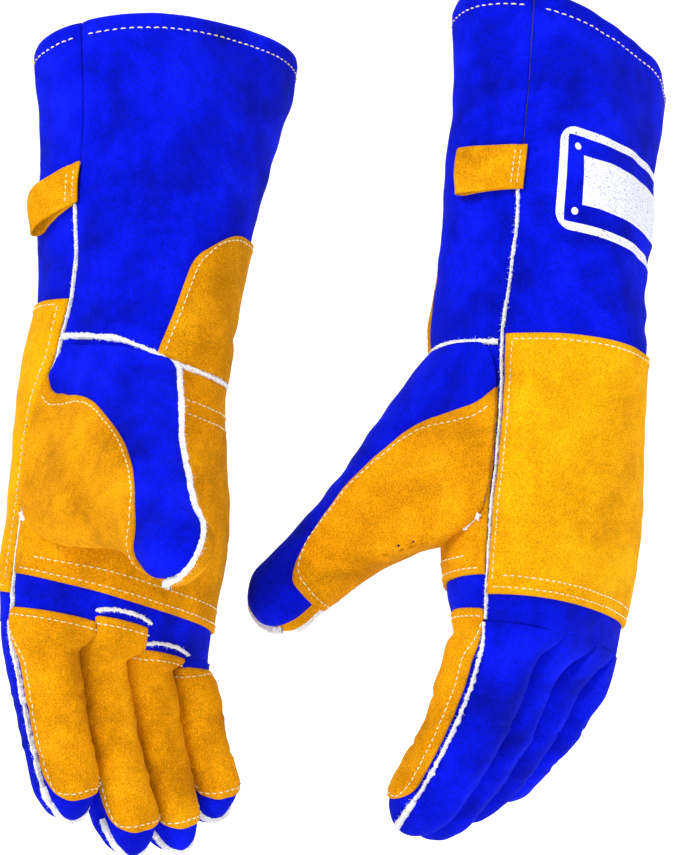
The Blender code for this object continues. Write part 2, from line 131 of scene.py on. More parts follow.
# Shares of the thumb patch's length at which each glove gives its edge's angle, and its other edge's angle.
THUMB_EDGE_PLACES = (0.0, 0.12, 0.30, 0.45, 0.60, 0.80, 1.0)
THUMB_WEB_SEAM = 204

# Sewing.
STITCH_PITCH = 0.0034
STITCH_LENGTH = 0.0024
STITCH_RADIUS = 0.00034
STITCH_INSET = 0.0030
HEM = 0.0078
ALL_SIDES = ("top", "right", "foot", "left")
# Rows of stitches on the hand's patches. Each row: how far inside the edge, the sides it follows, its seed.
BACK_SEWING = (*((STITCH_INSET, (edge,), 5) for edge in ALL_SIDES), (0.0078, ("foot",), 6))
PALM_SEWING = ((0.0036, ("foot",), 7), (0.0110, ("foot",), 8), (0.0130, ("top",), 9), (0.0190, ("top",), 10))
CUFF_SEWING = ((STITCH_INSET, ("left", "top", "right"), 11),)

# Welts. Each has the half width and height of its strip, then those of its loose fibres.
WELT_FOOT = -0.0012
WELT_STEP = 0.0007
WELT_FUZZ = 0.00028
FIBRE_LENGTH = 0.0018
FIBRE_HALF_WIDTH = 0.00010
FIBRES_PER_METRE = 2600
SIDE_WELT = ((0.0009, 0.0016), (0.0009, 0.0014))
WRIST_WELT = ((0.0016, 0.0022), (0.0016, 0.0022))
INDEX_WELT = ((0.0009, 0.0015), (0.0009, 0.0015))
TIP_WELT = ((0.0017, 0.0018), (0.0017, 0.0018))
BASE_WELT = ((0.0010, 0.0015), (0.0010, 0.0015))
THUMB_WELT = ((0.0013, 0.0017), (0.0014, 0.0018))
ROOT_WELT = ((0.0011, 0.0034), (0.0011, 0.0030))
WEB_WELT = ((0.0009, 0.0018), (0.0009, 0.0016))

# Hang loop. The tuck is how far the strip starts behind the seam, and it ends this clear of the leather.
LOOP_HEIGHT = 0.076
LOOP_HALF_WIDTH = 0.0105
LOOP_BEND = 0.0033
LOOP_THICKNESS = 0.0014
LOOP_TUCK = 0.0035
LOOP_CLEAR = 0.0010
LOOP_OUTER_PLACES = 24

# Printed frame on the cuff, with its half span in degrees.
PRINT_LIFT = 0.00018
PRINT_LINE = 0.0042
PRINT_LEVELS = (0.100, 0.048)
PRINT_HALF_SPAN = 61
PRINT_ROUNDING = 0.009
PRINT_DOT_INSET = 0.0098
PRINT_DOT_RADIUS = 0.0018
PRINT_PANEL_INSET = 0.0135

# Suede's noise, in features per metre.
NAP_SCALE = 38
MOTTLE_SCALE = 160
FIBRE_SCALE = 1500
PORE_SCALE = 2600
WEAR_SCALE = 1300
WHITE = (1.0, 1.0, 1.0)
# Each material: its name, the colours of its dark, middling and light nap, its sheen and the sheen's tint,
# and where they are not the usual ones, the strength of its grain and its roughness.
SUEDES = {
    "blue": (
        "blue suede",
        (0.0008, 0.0034, 0.300),
        (0.0012, 0.0056, 0.580),
        (0.0026, 0.0110, 0.820),
        0.10,
        (0.03, 0.09, 1.0),
    ),
    "gold": (
        "golden suede",
        (0.640, 0.270, 0.0010),
        (0.790, 0.350, 0.0015),
        (0.900, 0.430, 0.0030),
        0.10,
        (1.0, 0.62, 0.05),
        0.8,
    ),
    "tan": (
        "tan suede",
        (0.470, 0.178, 0.0010),
        (0.680, 0.272, 0.0015),
        (0.820, 0.370, 0.0030),
        0.12,
        (1.0, 0.60, 0.05),
    ),
    "white": (
        "white welt",
        (0.680, 0.690, 0.700),
        (0.800, 0.810, 0.820),
        (0.880, 0.885, 0.890),
        0.30,
        WHITE,
        0.7,
    ),
    "thread": (
        "cream thread",
        (0.660, 0.540, 0.260),
        (0.820, 0.700, 0.400),
        (0.900, 0.800, 0.540),
        0.10,
        WHITE,
        0.6,
        0.7,
    ),
    "cotton": (
        "brushed cotton",
        (0.400, 0.380, 0.320),
        (0.560, 0.530, 0.450),
        (0.680, 0.650, 0.560),
        0.30,
        WHITE,
        1.2,
    ),
}

# Camera, stage and lights. Each light: its name, place, size and watts.
CAMERA_DISTANCE = 1.5
SENSOR = 36.0
FRAME_HEIGHT = 0.4113
FRAME_MIDDLE = -0.0349
FLOOR_LEVEL = -0.40
STAGE_REACH = 6.0
STAGE_HALF_WIDTH = 8.0
BACKDROP_DEPTH = 3.4
BACKDROP_RADIUS = 1.2
LIGHTS = (
    ("key", (-1.3, -1.6, 1.2), 0.8, 38),
    ("fill", (1.5, -1.3, 0.3), 1.2, 10),
    ("top", (0.0, 0.5, 1.9), 1.2, 18),
)
LIGHTS_AIM = (-0.09, 0.0, -0.07)

# Where the solids' frame starts. It is set from their record before any point is worked out.
ORIGIN = np.zeros(3)


class Side:
    """How one glove of the pair is turned, and how its fingers and thumb are held.

    sewing gives the height of the back patch's top, the wrist welt's rise by the thumb and the angles of the
    thumb patch's edge. loop_hang gives the loop's droop and its reach.
    """

    def __init__(
        self, name, x, turn, mirror, twist, slant, cut, sewing, fingers, thumb_tip, loop_side, loop_hang
    ):
        c, s = math.cos(math.radians(turn)), math.sin(math.radians(turn))
        self.name = name
        self.x = x
        self.radial = (-c, s) if mirror > 0 else (-s, c)
        self.palmar = (s, c) if mirror > 0 else (-c, -s)
        self.twist = twist
        self.slant = slant
        self.cut = cut
        self.patch_top, self.wrist_rise, self.thumb_edge = sewing
        self.fingers = fingers
        self.thumb_tip = np.array(thumb_tip)
        self.loop_side = loop_side
        self.loop_droop, self.loop_reach = loop_hang

    def world(self, point):
        """Points given in the hand's directions, in the gloves' shared frame."""
        radial, palmar, up = np.moveaxis(np.asarray(point, float), -1, 0)
        across = radial * self.radial[0] + palmar * self.palmar[0]
        forward = radial * self.radial[1] + palmar * self.palmar[1]
        rise = np.maximum(up, 0.0) / RIM
        back = CUFF_LEAN * RIM * rise**2 / 2
        tilt = up + rise * (CUFF_LEAN * forward + self.slant * across - self.cut)
        return np.stack((self.x + across, back - forward, tilt), axis=-1) - ORIGIN


# Each finger: length beyond the knuckle row, bend at its root and bend at its tip, in degrees.
RIGHT = Side(
    "right",
    x=-0.1073,
    turn=40,
    mirror=1,
    twist=20,
    slant=0.11,
    cut=0.011,
    sewing=(0.0230, 0.0050, (98, 101, 94, 79, 69, 66, 72)),
    fingers=((0.093, 0, 16), (0.107, 3, 20), (0.101, 4, 22), (0.081, 4, 24)),
    thumb_tip=(0.050, 0.114, -0.087),
    loop_side=-1,
    loop_hang=(0.45, 0.025),
)
LEFT = Side(
    "left",
    x=0.0986,
    turn=30,
    mirror=-1,
    twist=-20,
    slant=-0.20,
    cut=0.0,
    sewing=(0.0040, 0.0015, (102, 102, 96, 86, 79, 75, 72)),
    fingers=((0.118, 17, 45), (0.119, 19, 48), (0.106, 21, 50), (0.090, 25, 53)),
    thumb_tip=(0.056, 0.112, -0.115),
    loop_side=1,
    loop_hang=(0.05, 0.029),
)


def smoothstep(value):
    """0 up to 0 and 1 from 1, with a smooth run between."""
    value = np.clip(value, 0.0, 1.0)
    return value * value * (3 - 2 * value)


def rows_at(level):
    """The hand's section at each height, on a smooth curve that runs straight on past its ends."""
    table = np.array(HAND_ROWS)
    heights = table[:, 0]
    slopes = np.gradient(table, heights, axis=0)
    level = np.asarray(level, float)
    held = np.clip(level, heights[-1], heights[0])
    k = np.clip(np.searchsorted(-heights, -held, side="right") - 1, 0, len(heights) - 2)
    span = (heights[k + 1] - heights[k])[..., None]
    f = ((held - heights[k])[..., None]) / span
    start, end = table[k], table[k + 1]
    bow = f * (1 - f) * span * ((1 - f) * slopes[k] - f * slopes[k + 1])
    section = start + (end - start) * f * f * (3 - 2 * f) + bow
    beyond = (level - held)[..., None]
    last = np.where(beyond < 0, slopes[-1], slopes[0])
    return np.moveaxis(section + beyond * last, -1, 0)


def power(value, exponent):
    """A power that keeps the value's sign."""
    return np.copysign(np.abs(value) ** exponent, value)


def oval(half_width, half_depth, angle, squareness):
    """Points on an oval whose corners are a little fuller than an ellipse's."""
    return (
        half_width * power(np.cos(angle), 2 / squareness),
        half_depth * power(np.sin(angle), 2 / squareness),
    )


def hand_point(side, level, angle):
    """Points on the cuff or the hand, in the hand's directions."""
    _, width, depth, radial, palmar, climb = rows_at(level)
    rise = np.maximum(level, 0.0) / RIM
    across, out = oval(width, depth, angle + math.radians(side.twist) * rise, HAND_SQUARENESS)
    return np.stack((radial + across, palmar + out, level + climb * across), axis=-1)


def finger_root(number):
    """The middle of a finger's share of the knuckle row."""
    _, _, _, radial, palmar, climb = rows_at(KNUCKLES)
    across = FINGER_PITCH * (1.5 - number)
    return np.array((radial + across, palmar, KNUCKLES + climb * across))


def finger_frame(bend):
    """A finger's direction and its palmar direction, for a bend towards the palm."""
    c, s = np.cos(bend), np.sin(bend)
    along = np.stack((-math.sin(FINGER_LEAN) * c, s, -math.cos(FINGER_LEAN) * c), axis=-1)
    palmar = np.stack((math.sin(FINGER_LEAN) * s, c, math.cos(FINGER_LEAN) * s), axis=-1)
    return along, palmar


def finger_centre(side, number, fraction):
    """The centre line of a finger, as a curve whose bend grows from root to tip."""
    length, root_bend, tip_bend = side.fingers[number]
    count = 60
    steps = np.linspace(0, 1, count + 1)
    middles = (steps[1:] + steps[:-1]) / 2
    bends = np.radians(root_bend + (tip_bend - root_bend) * middles)
    run = np.cumsum(finger_frame(bends)[0], axis=0) * length / count
    path = finger_root(number) + np.vstack((np.zeros(3), run))
    centre = np.stack([np.interp(fraction, steps, path[:, k]) for k in range(3)], axis=-1)
    return centre, np.radians(root_bend + (tip_bend - root_bend) * fraction)


def dome(fraction, start):
    """How much of a tube's width is left as it rounds off into its tip."""
    beyond = np.clip((fraction - start) / (1 - start), 0, 1)
    return np.sqrt(1 - beyond**2)


def hand_slice(number, level, across_part, depth_part):
    """A finger's share of the hand's outline: both parts run from -1 to 1 over the slice."""
    _, width, depth, radial, palmar, climb = rows_at(level)
    middle = FINGER_PITCH * (1.5 - number)
    high = middle + FINGER_PITCH / 2 if number > 0 else width * 0.999
    low = middle - FINGER_PITCH / 2 if number < 3 else -width * 0.999
    across = (high + low) / 2 + across_part * (high - low) / 2
    bulge = np.clip(1 - np.abs(across / width) ** HAND_SQUARENESS, 0, 1) ** (1 / HAND_SQUARENESS)
    return np.stack((radial + across, palmar + depth_part * depth * bulge, level + climb * across), axis=-1)


def finger_point(side, number, fraction, angle):
    """Points on a finger, which starts as its slice of the hand and turns into a tube with a round tip."""
    length = side.fingers[number][0]
    centre, bend = finger_centre(side, number, fraction)
    palmar = finger_frame(bend)[1]
    across = np.array((math.cos(FINGER_LEAN), 0.0, -math.sin(FINGER_LEAN)))
    left = dome(fraction, FINGER_DOME)
    width = (FINGER_HALF_WIDTH + (FINGER_TIP_WIDTH - FINGER_HALF_WIDTH) * fraction**2) * left
    depth = (FINGER_HALF_DEPTH + (FINGER_TIP_DEPTH - FINGER_HALF_DEPTH) * fraction) * left
    a, b = oval(width, depth, angle, FINGER_SQUARENESS)
    free = centre + a[..., None] * across + b[..., None] * palmar
    c, s = np.cos(angle), np.sin(angle)
    most = np.maximum(np.abs(c), np.abs(s))
    root = hand_slice(number, KNUCKLES - fraction * length, c / most, s / most)
    share = smoothstep(fraction * length / FINGER_SPREAD)[..., None]
    return root * (1 - share) + free * share


def thumb_root(side, turn):
    """The loop on the hand that the thumb grows out of, from the thenar corner round the dorsal side."""
    turns, angles, levels = np.array(THUMB_ROOT).T
    rounding = THUMB_ROOT_ROUNDING * (1 + 2.5 * np.exp(-(((turn % 1.0) - 0.5) / 0.08) ** 2))
    spread = [turn + rounding * k for k in (-1.5, -0.5, 0.5, 1.5)]
    angle = np.mean([np.interp(t % 1.0, turns, angles) for t in spread], axis=0)
    level = np.mean([np.interp(t % 1.0, turns, levels) for t in spread], axis=0)
    return hand_point(side, level, np.radians(angle))


def thumb_frame(side):
    """The thumb's direction, those of its palm-side seam and of its back, and its root's middle."""
    root = thumb_root(side, np.arange(16) / 16).mean(axis=0)
    along = (side.thumb_tip - root) / np.linalg.norm(side.thumb_tip - root)
    seam = np.array((THUMB_SEAM_LEAN, 0.0, 1.0))
    seam = seam - along * (seam @ along)
    seam = seam / np.linalg.norm(seam)
    dorsal = np.cross(seam, along)
    return along, seam, dorsal * math.copysign(1.0, dorsal[0]), root


def thumb_point(side, fraction, angle):
    """Points on the thumb: a smooth run from its root on the hand to the ring at its tip, then a dome."""
    along, seam, dorsal, root = thumb_frame(side)
    c, s = np.cos(angle)[..., None], np.sin(angle)[..., None]
    ring = THUMB_TIP_WIDTH * c * seam + THUMB_TIP_DEPTH * s * dorsal
    start = thumb_root(side, angle / (2 * math.pi))
    length = np.linalg.norm(side.thumb_tip - root)
    middle = rows_at(THUMB_MIDDLE)
    outward = start - np.array((middle[3], middle[4], 0.0))
    outward[..., 2] = 0.0
    outward = outward / np.linalg.norm(outward, axis=-1, keepdims=True)
    near = start + (THUMB_FLARE * outward + (1 - THUMB_FLARE) * along) * THUMB_ROOT_PULL * length
    far = side.thumb_tip + ring - along * THUMB_TIP_PULL * length
    end = side.thumb_tip + ring
    f = np.clip(fraction / THUMB_DOME, 0, 1)[..., None]
    run = (1 - f) ** 3 * start + 3 * (1 - f) ** 2 * f * near + 3 * (1 - f) * f**2 * far + f**3 * end
    beyond = np.clip((fraction - THUMB_DOME) / (1 - THUMB_DOME), 0, 1)[..., None]
    tip = side.thumb_tip + ring * np.sqrt(1 - beyond**2) + along * THUMB_TIP_WIDTH * beyond
    return np.where(beyond > 0, tip, run)


def waves(points, size, seed, count=18):
    """Smooth unevenness with features of about a given size, from -1 to 1 for the most part."""
    source = np.random.default_rng(seed)
    directions = source.normal(size=(count, 3))
    directions /= np.linalg.norm(directions, axis=1, keepdims=True)
    lengths = size * source.uniform(0.7, 1.6, count)
    phases = source.uniform(0, 2 * math.pi, count)
    phase = points @ (directions / lengths[:, None] * 2 * math.pi).T + phases
    return np.sin(phase).sum(axis=-1) / math.sqrt(count)


class Surface:
    """A surface of one glove with the leather's unevenness on it, and a way to reach any height above it."""

    def __init__(self, side, place, relief, low, high):
        """place gives the points in the hand's directions. low and high bound the first coordinate."""
        self.side = side
        self.place = place
        self.relief = relief
        self.low, self.high = low, high
        self.step = (self.high - self.low) * 0.003
        self.sign = 1.0
        levels = np.linspace(self.low, self.high, 9)[1:-2]
        a, b = np.meshgrid(levels, np.linspace(0, 2 * math.pi, 12), indexing="ij")
        points = self.shape(a, b)
        out = self.normal_of(self.shape, a, b)
        if (out * (points - points.mean(axis=1, keepdims=True))).sum() < 0:
            self.sign = -1.0

    def shape(self, a, b):
        """Points on the smooth surface."""
        return self.side.world(self.place(a, b))

    def normal_of(self, shape, a, b):
        """The outward directions of a shape over the two coordinates."""
        over = shape(np.minimum(a + self.step, self.high), b) - shape(np.maximum(a - self.step, self.low), b)
        round_ = shape(a, b + 0.006) - shape(a, b - 0.006)
        out = np.cross(round_, over)
        return self.sign * out / np.maximum(np.linalg.norm(out, axis=-1, keepdims=True), 1e-15)

    def uneven(self, a, b):
        """Points on the shape with its unevenness."""
        points = self.shape(a, b)
        return points + self.normal_of(self.shape, a, b) * self.relief(points, a, b)[..., None]

    def at(self, a, b, lift=0.0):
        """Points at a height above the surface, and the outward directions there."""
        a, b = np.broadcast_arrays(np.asarray(a, float), np.asarray(b, float))
        out = self.normal_of(self.uneven, a, b)
        return self.uneven(a, b) + out * np.asarray(lift)[..., None], out


def fold(a, b, start, end, depth, width, stretch=1.0):
    """A crease along a straight run of the surface's coordinates. stretch turns an angle into a length."""
    sa, sb = start
    ea, eb = end
    da, db = ea - sa, (eb - sb) * stretch
    length = math.hypot(da, db)
    pa, pb = a - sa, (b - sb) * stretch
    t = np.clip((pa * da + pb * db) / length**2, 0, 1)
    distance = np.hypot(pa - t * da, pb - t * db)
    fade = np.sin(math.pi * np.clip(t, 0.02, 0.98)) ** 0.5
    valley = -depth * fade * np.exp(-((distance / width) ** 2))
    ridge = depth * 0.6 * fade * np.exp(-(((distance - 1.7 * width) / width) ** 2))
    return valley + ridge


def hand_softness(side, points):
    """The hand's broad and small unevenness."""
    seed = 3 if side.name == "right" else 8
    return 0.0011 * waves(points, 0.060, seed) + 0.00035 * waves(points, 0.020, seed + 1)


def hand_relief(side):
    """The hand's unevenness: soft waves, flutes up the cuff, creases, and a valley along both seams."""

    def relief(points, a, b):
        angle = np.mod(b, 2 * math.pi)
        rise = smoothstep((a - 0.02) / 0.10)
        creases = 0.0
        for start, end, depth, width in HAND_FOLDS:
            creases = creases + fold(a, angle, start, end, depth, width, 0.05)
        lift = hand_softness(side, points) + 0.0010 * rise * np.sin(3 * angle + 4.5) + creases
        for seam in (math.pi, 0.0):
            gap = np.abs(np.mod(b - seam + math.pi, 2 * math.pi) - math.pi) * HAND_RADIUS
            lift = lift - SEAM_DIP * np.exp(-((gap / SEAM_WIDTH) ** 2))
        return lift

    return relief


def finger_relief(side, number):
    """A finger's unevenness: soft waves, and creases over and under its joints."""
    seed = 20 + 5 * number + (0 if side.name == "right" else 3)

    def relief(points, a, b):
        angle = np.mod(b, 2 * math.pi)
        held = smoothstep(a / 0.2)
        soft = 0.00060 * waves(points, 0.030, seed) + 0.00022 * waves(points, 0.010, seed + 1)
        knuckle = 0.0
        for place in (0.34, 0.60):
            knuckle = knuckle + fold(a, angle, (place, 3.5), (place + 0.02, 5.8), 0.0005, 0.018, 0.02)
            knuckle = knuckle + fold(a, angle, (place + 0.05, 0.5), (place + 0.03, 2.6), 0.0007, 0.022, 0.02)
        return (soft + knuckle) * held

    return relief


def thumb_relief(side):
    """The thumb's unevenness, which starts as the hand's."""
    seed = 40 if side.name == "right" else 46

    def relief(points, a, b):
        held = smoothstep(a / 0.22)
        root = hand_softness(side, points) + THUMB_ROOT_LIFT
        own = 0.0007 * waves(points, 0.040, seed) + 0.00025 * waves(points, 0.013, seed + 1)
        return root * (1 - held) + own * held

    return relief


# Meshes.


def grid_faces(rows, columns, closed=False):
    """Faces between the points of a grid, row by row. A closed grid's last column joins its first."""
    i = np.arange(rows - 1)[:, None]
    j = np.arange(columns if closed else columns - 1)[None, :]
    nxt = (j + 1) % columns
    corners = (i * columns + j, i * columns + nxt, (i + 1) * columns + nxt, (i + 1) * columns + j)
    return np.stack([np.broadcast_to(c, (rows - 1, j.shape[1])) for c in corners], axis=-1).reshape(-1, 4)


def rim_of(rows, columns):
    """The border of a grid, as a ring of point numbers."""
    top = np.arange(columns)
    right = np.arange(1, rows) * columns + columns - 1
    foot = (rows - 1) * columns + np.arange(columns - 2, -1, -1)
    left = np.arange(rows - 2, 0, -1) * columns
    return np.concatenate((top, right, foot, left))


def band(first, second):
    """Faces between two rings of point numbers of the same length."""
    return np.stack((first, np.roll(first, -1), np.roll(second, -1), second), axis=-1)


def add_mesh(name, parts, finish):
    """One object from several (points, faces) parts."""
    points, faces, start = [], [], 0
    for part_points, part_faces in parts:
        flat = np.asarray(part_points).reshape(-1, 3)
        points.append(flat)
        faces.extend((np.asarray(part_faces) + start).tolist())
        start += len(flat)
    mesh = bpy.data.meshes.new(name)
    mesh.from_pydata(np.concatenate(points).tolist(), [], faces)
    mesh.validate()
    mesh.shade_smooth()
    mesh.materials.append(finish)
    made = bpy.data.objects.new(name, mesh)
    bpy.context.scene.collection.objects.link(made)
    return made


def facing(points, out, faces):
    """The faces, turned so that they look along the outward directions."""
    flat, outs = points.reshape(-1, 3), out.reshape(-1, 3)
    some = faces[:: max(1, len(faces) // 400)]
    p = flat[some]
    normal = np.cross(p[:, 1] - p[:, 0], p[:, 2] - p[:, 0])
    return faces if (normal * outs[some[:, 0]]).sum() > 0 else faces[:, ::-1]


def skin_part(surface, a, b, lift, closed=False):
    """A skin with no thickness over a grid of coordinates."""
    points, out = surface.at(a, b, lift)
    return points, facing(points, out, grid_faces(*np.shape(a), closed=closed))


def edge_faces(faces, rows, columns, ring):
    """Faces from a grid's border to another ring of points, turned to suit the grid's own faces."""
    side = band(rim_of(rows, columns), ring)
    turned = faces[0].tolist() != grid_faces(rows, columns)[0].tolist()
    return side if turned else side[:, ::-1]


def closed_faces(faces, rows, columns):
    """Faces of a closed sheet, whose second side has its points numbered on from the first side's."""
    count = rows * columns
    edge = edge_faces(faces, rows, columns, rim_of(rows, columns) + count)
    return np.concatenate((faces, faces[:, ::-1] + count, edge))


def sheet_part(surface, a, b, outer, inner, cut_top):
    """A closed sheet of leather over a grid of coordinates. A cut top edge is turned down halfway."""
    lift = np.full(a.shape, float(outer))
    if cut_top:
        lift[0] = outer - 0.5 * (outer - inner)
    top, faces = skin_part(surface, a, b, lift)
    under, _ = surface.at(a, b, inner)
    points = np.concatenate((top.reshape(-1, 3), under.reshape(-1, 3)))
    return points, closed_faces(faces, *a.shape)


def patch_part(surface, outline, cell, outer, inner):
    """A patch of leather over an outline, with its whole edge turned down to the inner height."""
    a, b = outline.grid(cell)
    lift = np.full(a.shape, float(outer))
    lift[[0, -1]] = lift[:, [0, -1]] = outer - 0.5 * (outer - inner)
    top, faces = skin_part(surface, a, b, lift)
    border = rim_of(*a.shape)
    skirt, _ = surface.at(a.reshape(-1)[border], b.reshape(-1)[border], inner)
    edge = edge_faces(faces, *a.shape, a.size + np.arange(len(border)))
    return np.concatenate((top.reshape(-1, 3), skirt)), np.concatenate((faces, edge))


def lines(count, edge):
    """Grid lines from 0 to 1, with an extra one close to each end."""
    return np.concatenate(([0.0, edge], np.linspace(edge, 1 - edge, count)[1:-1], [1 - edge, 1.0]))


def rounded(u, v, round_u, round_v, corners):
    """The unit square with round corners. corners: whether each of (0,0), (1,0), (0,1), (1,1) is rounded."""
    x, y = 2 * u - 1, 2 * v - 1
    ax = np.clip((np.abs(x) - (1 - round_u)) / round_u, 0, 1)
    ay = np.clip((np.abs(y) - (1 - round_v)) / round_v, 0, 1)
    keep = np.where(
        y < 0,
        np.where(x < 0, corners[0], corners[1]),
        np.where(x < 0, corners[2], corners[3]),
    )
    new_x = ax * np.sqrt(1 - keep * ay**2 / 2)
    new_y = ay * np.sqrt(1 - keep * ax**2 / 2)
    x = np.where(ax > 0, np.sign(x) * (1 - round_u + round_u * new_x), x)
    y = np.where(ay > 0, np.sign(y) * (1 - round_v + round_v * new_y), y)
    return (x + 1) / 2, (y + 1) / 2


class Outline:
    """A patch's outline: a rounded four-sided region of a surface's coordinates."""

    def __init__(self, surface, top, foot, left, right, radius=0.0, corners=(0, 0, 0, 0)):
        """top and foot give the first coordinate over u, left and right the second over v."""
        self.surface = surface
        self.top, self.foot, self.left, self.right = top, foot, left, right
        self.radius = radius
        self.corners = corners
        self.width, self.height = 1.0, 1.0
        self.width = self.length(np.linspace(0, 1, 30), 0.5)
        self.height = self.length(0.5, np.linspace(0, 1, 30))

    def plain(self, u, v):
        return self.top(u) * (1 - v) + self.foot(u) * v, self.left(v) * (1 - u) + self.right(v) * u

    def length(self, u, v):
        u, v = np.broadcast_arrays(np.asarray(u, float), np.asarray(v, float))
        points = self.surface.shape(*self.plain(u, v))
        return float(np.linalg.norm(np.diff(points, axis=0), axis=1).sum())

    def place(self, u, v):
        u, v = np.broadcast_arrays(np.asarray(u, float), np.asarray(v, float))
        if self.radius:
            round_u, round_v = (min(0.98, 2 * self.radius / size) for size in (self.width, self.height))
            u, v = rounded(u, v, round_u, round_v, self.corners)
        return self.plain(u, v)

    def grid(self, cell):
        u = lines(max(4, int(self.width / cell)), EDGE / self.width)
        v = lines(max(4, int(self.height / cell)), EDGE / self.height)
        v, u = np.meshgrid(v, u, indexing="ij")
        return self.place(u, v)

    def run(self, inset, sides):
        """Coordinates along some of the outline's sides, in order, a distance inside it."""
        u, v = inset / self.width, inset / self.height
        ends = {
            "top": ((u, v), (1 - u, v)),
            "right": ((1 - u, v), (1 - u, 1 - v)),
            "foot": ((1 - u, 1 - v), (u, 1 - v)),
            "left": ((u, 1 - v), (u, v)),
        }
        us, vs = [], []
        for name in sides:
            (u0, v0), (u1, v1) = ends[name]
            us.append(np.linspace(u0, u1, 90))
            vs.append(np.linspace(v0, v1, 90))
        return self.place(np.concatenate(us), np.concatenate(vs))


def even(surface, a, b, lift, pitch):
    """Places at an even pitch along a path: middles, and directions along it, across it and outwards."""
    points, out = surface.at(a, b, lift)
    steps = np.linalg.norm(np.diff(points, axis=0), axis=1)
    keep = np.concatenate(([True], steps > 1e-7))
    points, out = points[keep], out[keep]
    reach = np.concatenate(([0.0], np.cumsum(np.linalg.norm(np.diff(points, axis=0), axis=1))))
    places = np.arange(pitch * 0.6, reach[-1] - pitch * 0.4, pitch)

    def read(values, at):
        return np.stack([np.interp(at, reach, values[:, k]) for k in range(3)], axis=-1)

    middle = read(points, places)
    along = read(points, places + pitch / 3) - read(points, places - pitch / 3)
    along /= np.maximum(np.linalg.norm(along, axis=1, keepdims=True), 1e-12)
    outward = read(out, places)
    outward -= along * (outward * along).sum(axis=1, keepdims=True)
    outward /= np.maximum(np.linalg.norm(outward, axis=1, keepdims=True), 1e-12)
    return middle, along, np.cross(along, outward), outward


def stitch_part(surface, a, b, lift, seed, pitch=STITCH_PITCH, length=STITCH_LENGTH):
    """A row of stitches along a path. Each is a short bow of thread that dives in at its ends."""
    middle, along, across, outward = even(surface, a, b, lift, pitch)
    source = np.random.default_rng(seed)
    count = len(middle)
    lengths = length * source.uniform(0.85, 1.1, count)
    along = along + across * source.normal(0, 0.06, count)[:, None]
    rings, sides = 5, 6
    t = np.linspace(-1, 1, rings)
    size = STITCH_RADIUS * np.array((0.55, 0.95, 1.05, 0.95, 0.55))
    height = np.array((-0.25, 0.25, 0.45, 0.25, -0.25)) * STITCH_RADIUS * 2
    turn = np.arange(sides) * 2 * math.pi / sides
    shape = (
        middle[:, None, None, :]
        + along[:, None, None, :] * (t[None, :, None, None] * lengths[:, None, None, None] / 2)
        + outward[:, None, None, :] * (height[:, None] + size[:, None] * np.sin(turn))[None, :, :, None]
        + across[:, None, None, :] * (size[:, None] * np.cos(turn))[None, :, :, None]
    )
    one = grid_faces(rings, sides, closed=True)
    faces = (one[None] + (np.arange(count) * rings * sides)[:, None, None]).reshape(-1, 4)
    return shape.reshape(-1, 3), faces


def welt_part(surface, a, b, width, height, seed, low):
    """A strip of welt along a path: a low dome with a frayed, uneven edge."""
    middle, _, across, outward = even(surface, a, b, 0.0, WELT_STEP)
    profile = np.linspace(-1, 1, 9)
    source = np.random.default_rng(seed)
    count = len(middle)
    rough = source.normal(0, 1, (count, len(profile)))
    rough = (rough + np.roll(rough, 1, axis=0)) / 1.4
    slow = waves(middle, 0.012, seed, 8)
    reach = profile * width * (1 + 0.14 * slow[:, None]) + rough * WELT_FUZZ * np.abs(profile)
    dome_height = np.sqrt(np.clip(1 - profile**2, 0, 1)) * (height - low) + low
    tall = dome_height * (1 + 0.08 * slow[:, None]) + rough[:, ::-1] * WELT_FUZZ * 0.5
    shape = middle[:, None, :] + across[:, None, :] * reach[..., None] + outward[:, None, :] * tall[..., None]
    outs = np.broadcast_to(outward[:, None, :], shape.shape)
    return shape.reshape(-1, 3), facing(shape, outs, grid_faces(count, len(profile)))


def fibre_part(surface, a, b, width, height, seed, length=FIBRE_LENGTH):
    """Loose fibres that stand out of a welt: thin blades of leather fluff."""
    middle, along, across, outward = even(surface, a, b, height * 0.5, 1 / FIBRES_PER_METRE)
    source = np.random.default_rng(seed)
    count = len(middle)
    offset = source.uniform(-1, 1, count)[:, None]
    root = middle + across * offset * width * 0.9
    lean = outward * source.uniform(0.15, 0.9, count)[:, None]
    lean = lean + across * (offset + source.normal(0, 0.35, count)[:, None])
    lean = lean + along * source.normal(0, 0.6, count)[:, None]
    lean /= np.linalg.norm(lean, axis=1, keepdims=True)
    reach = length * source.uniform(0.3, 1.0, count)[:, None]
    side = np.cross(lean, outward)
    side /= np.maximum(np.linalg.norm(side, axis=1, keepdims=True), 1e-9)
    foot = side * FIBRE_HALF_WIDTH
    blade = np.stack((root - foot, root + foot, root + lean * reach), axis=1)
    faces = np.arange(count * 3).reshape(-1, 3)
    return blade.reshape(-1, 3), faces


def fringed_welt(surface, run, sizes, seed, low=WELT_FOOT, length=FIBRE_LENGTH):
    """A welt along a run of coordinates, and the fibres that stand out of it."""
    strip, fringe = sizes
    return [
        welt_part(surface, *run, *strip, seed, low),
        fibre_part(surface, *run, *fringe, seed + 1, length),
    ]


# Materials.


def noise_node(tree, coordinates, scale, detail, roughness):
    """Noise over an object's own coordinates."""
    made = tree.nodes.new("ShaderNodeTexNoise")
    for socket, value in (("Scale", scale), ("Detail", detail), ("Roughness", roughness)):
        made.inputs[socket].default_value = value
    tree.links.new(coordinates, made.inputs["Vector"])
    return made.outputs["Fac"]


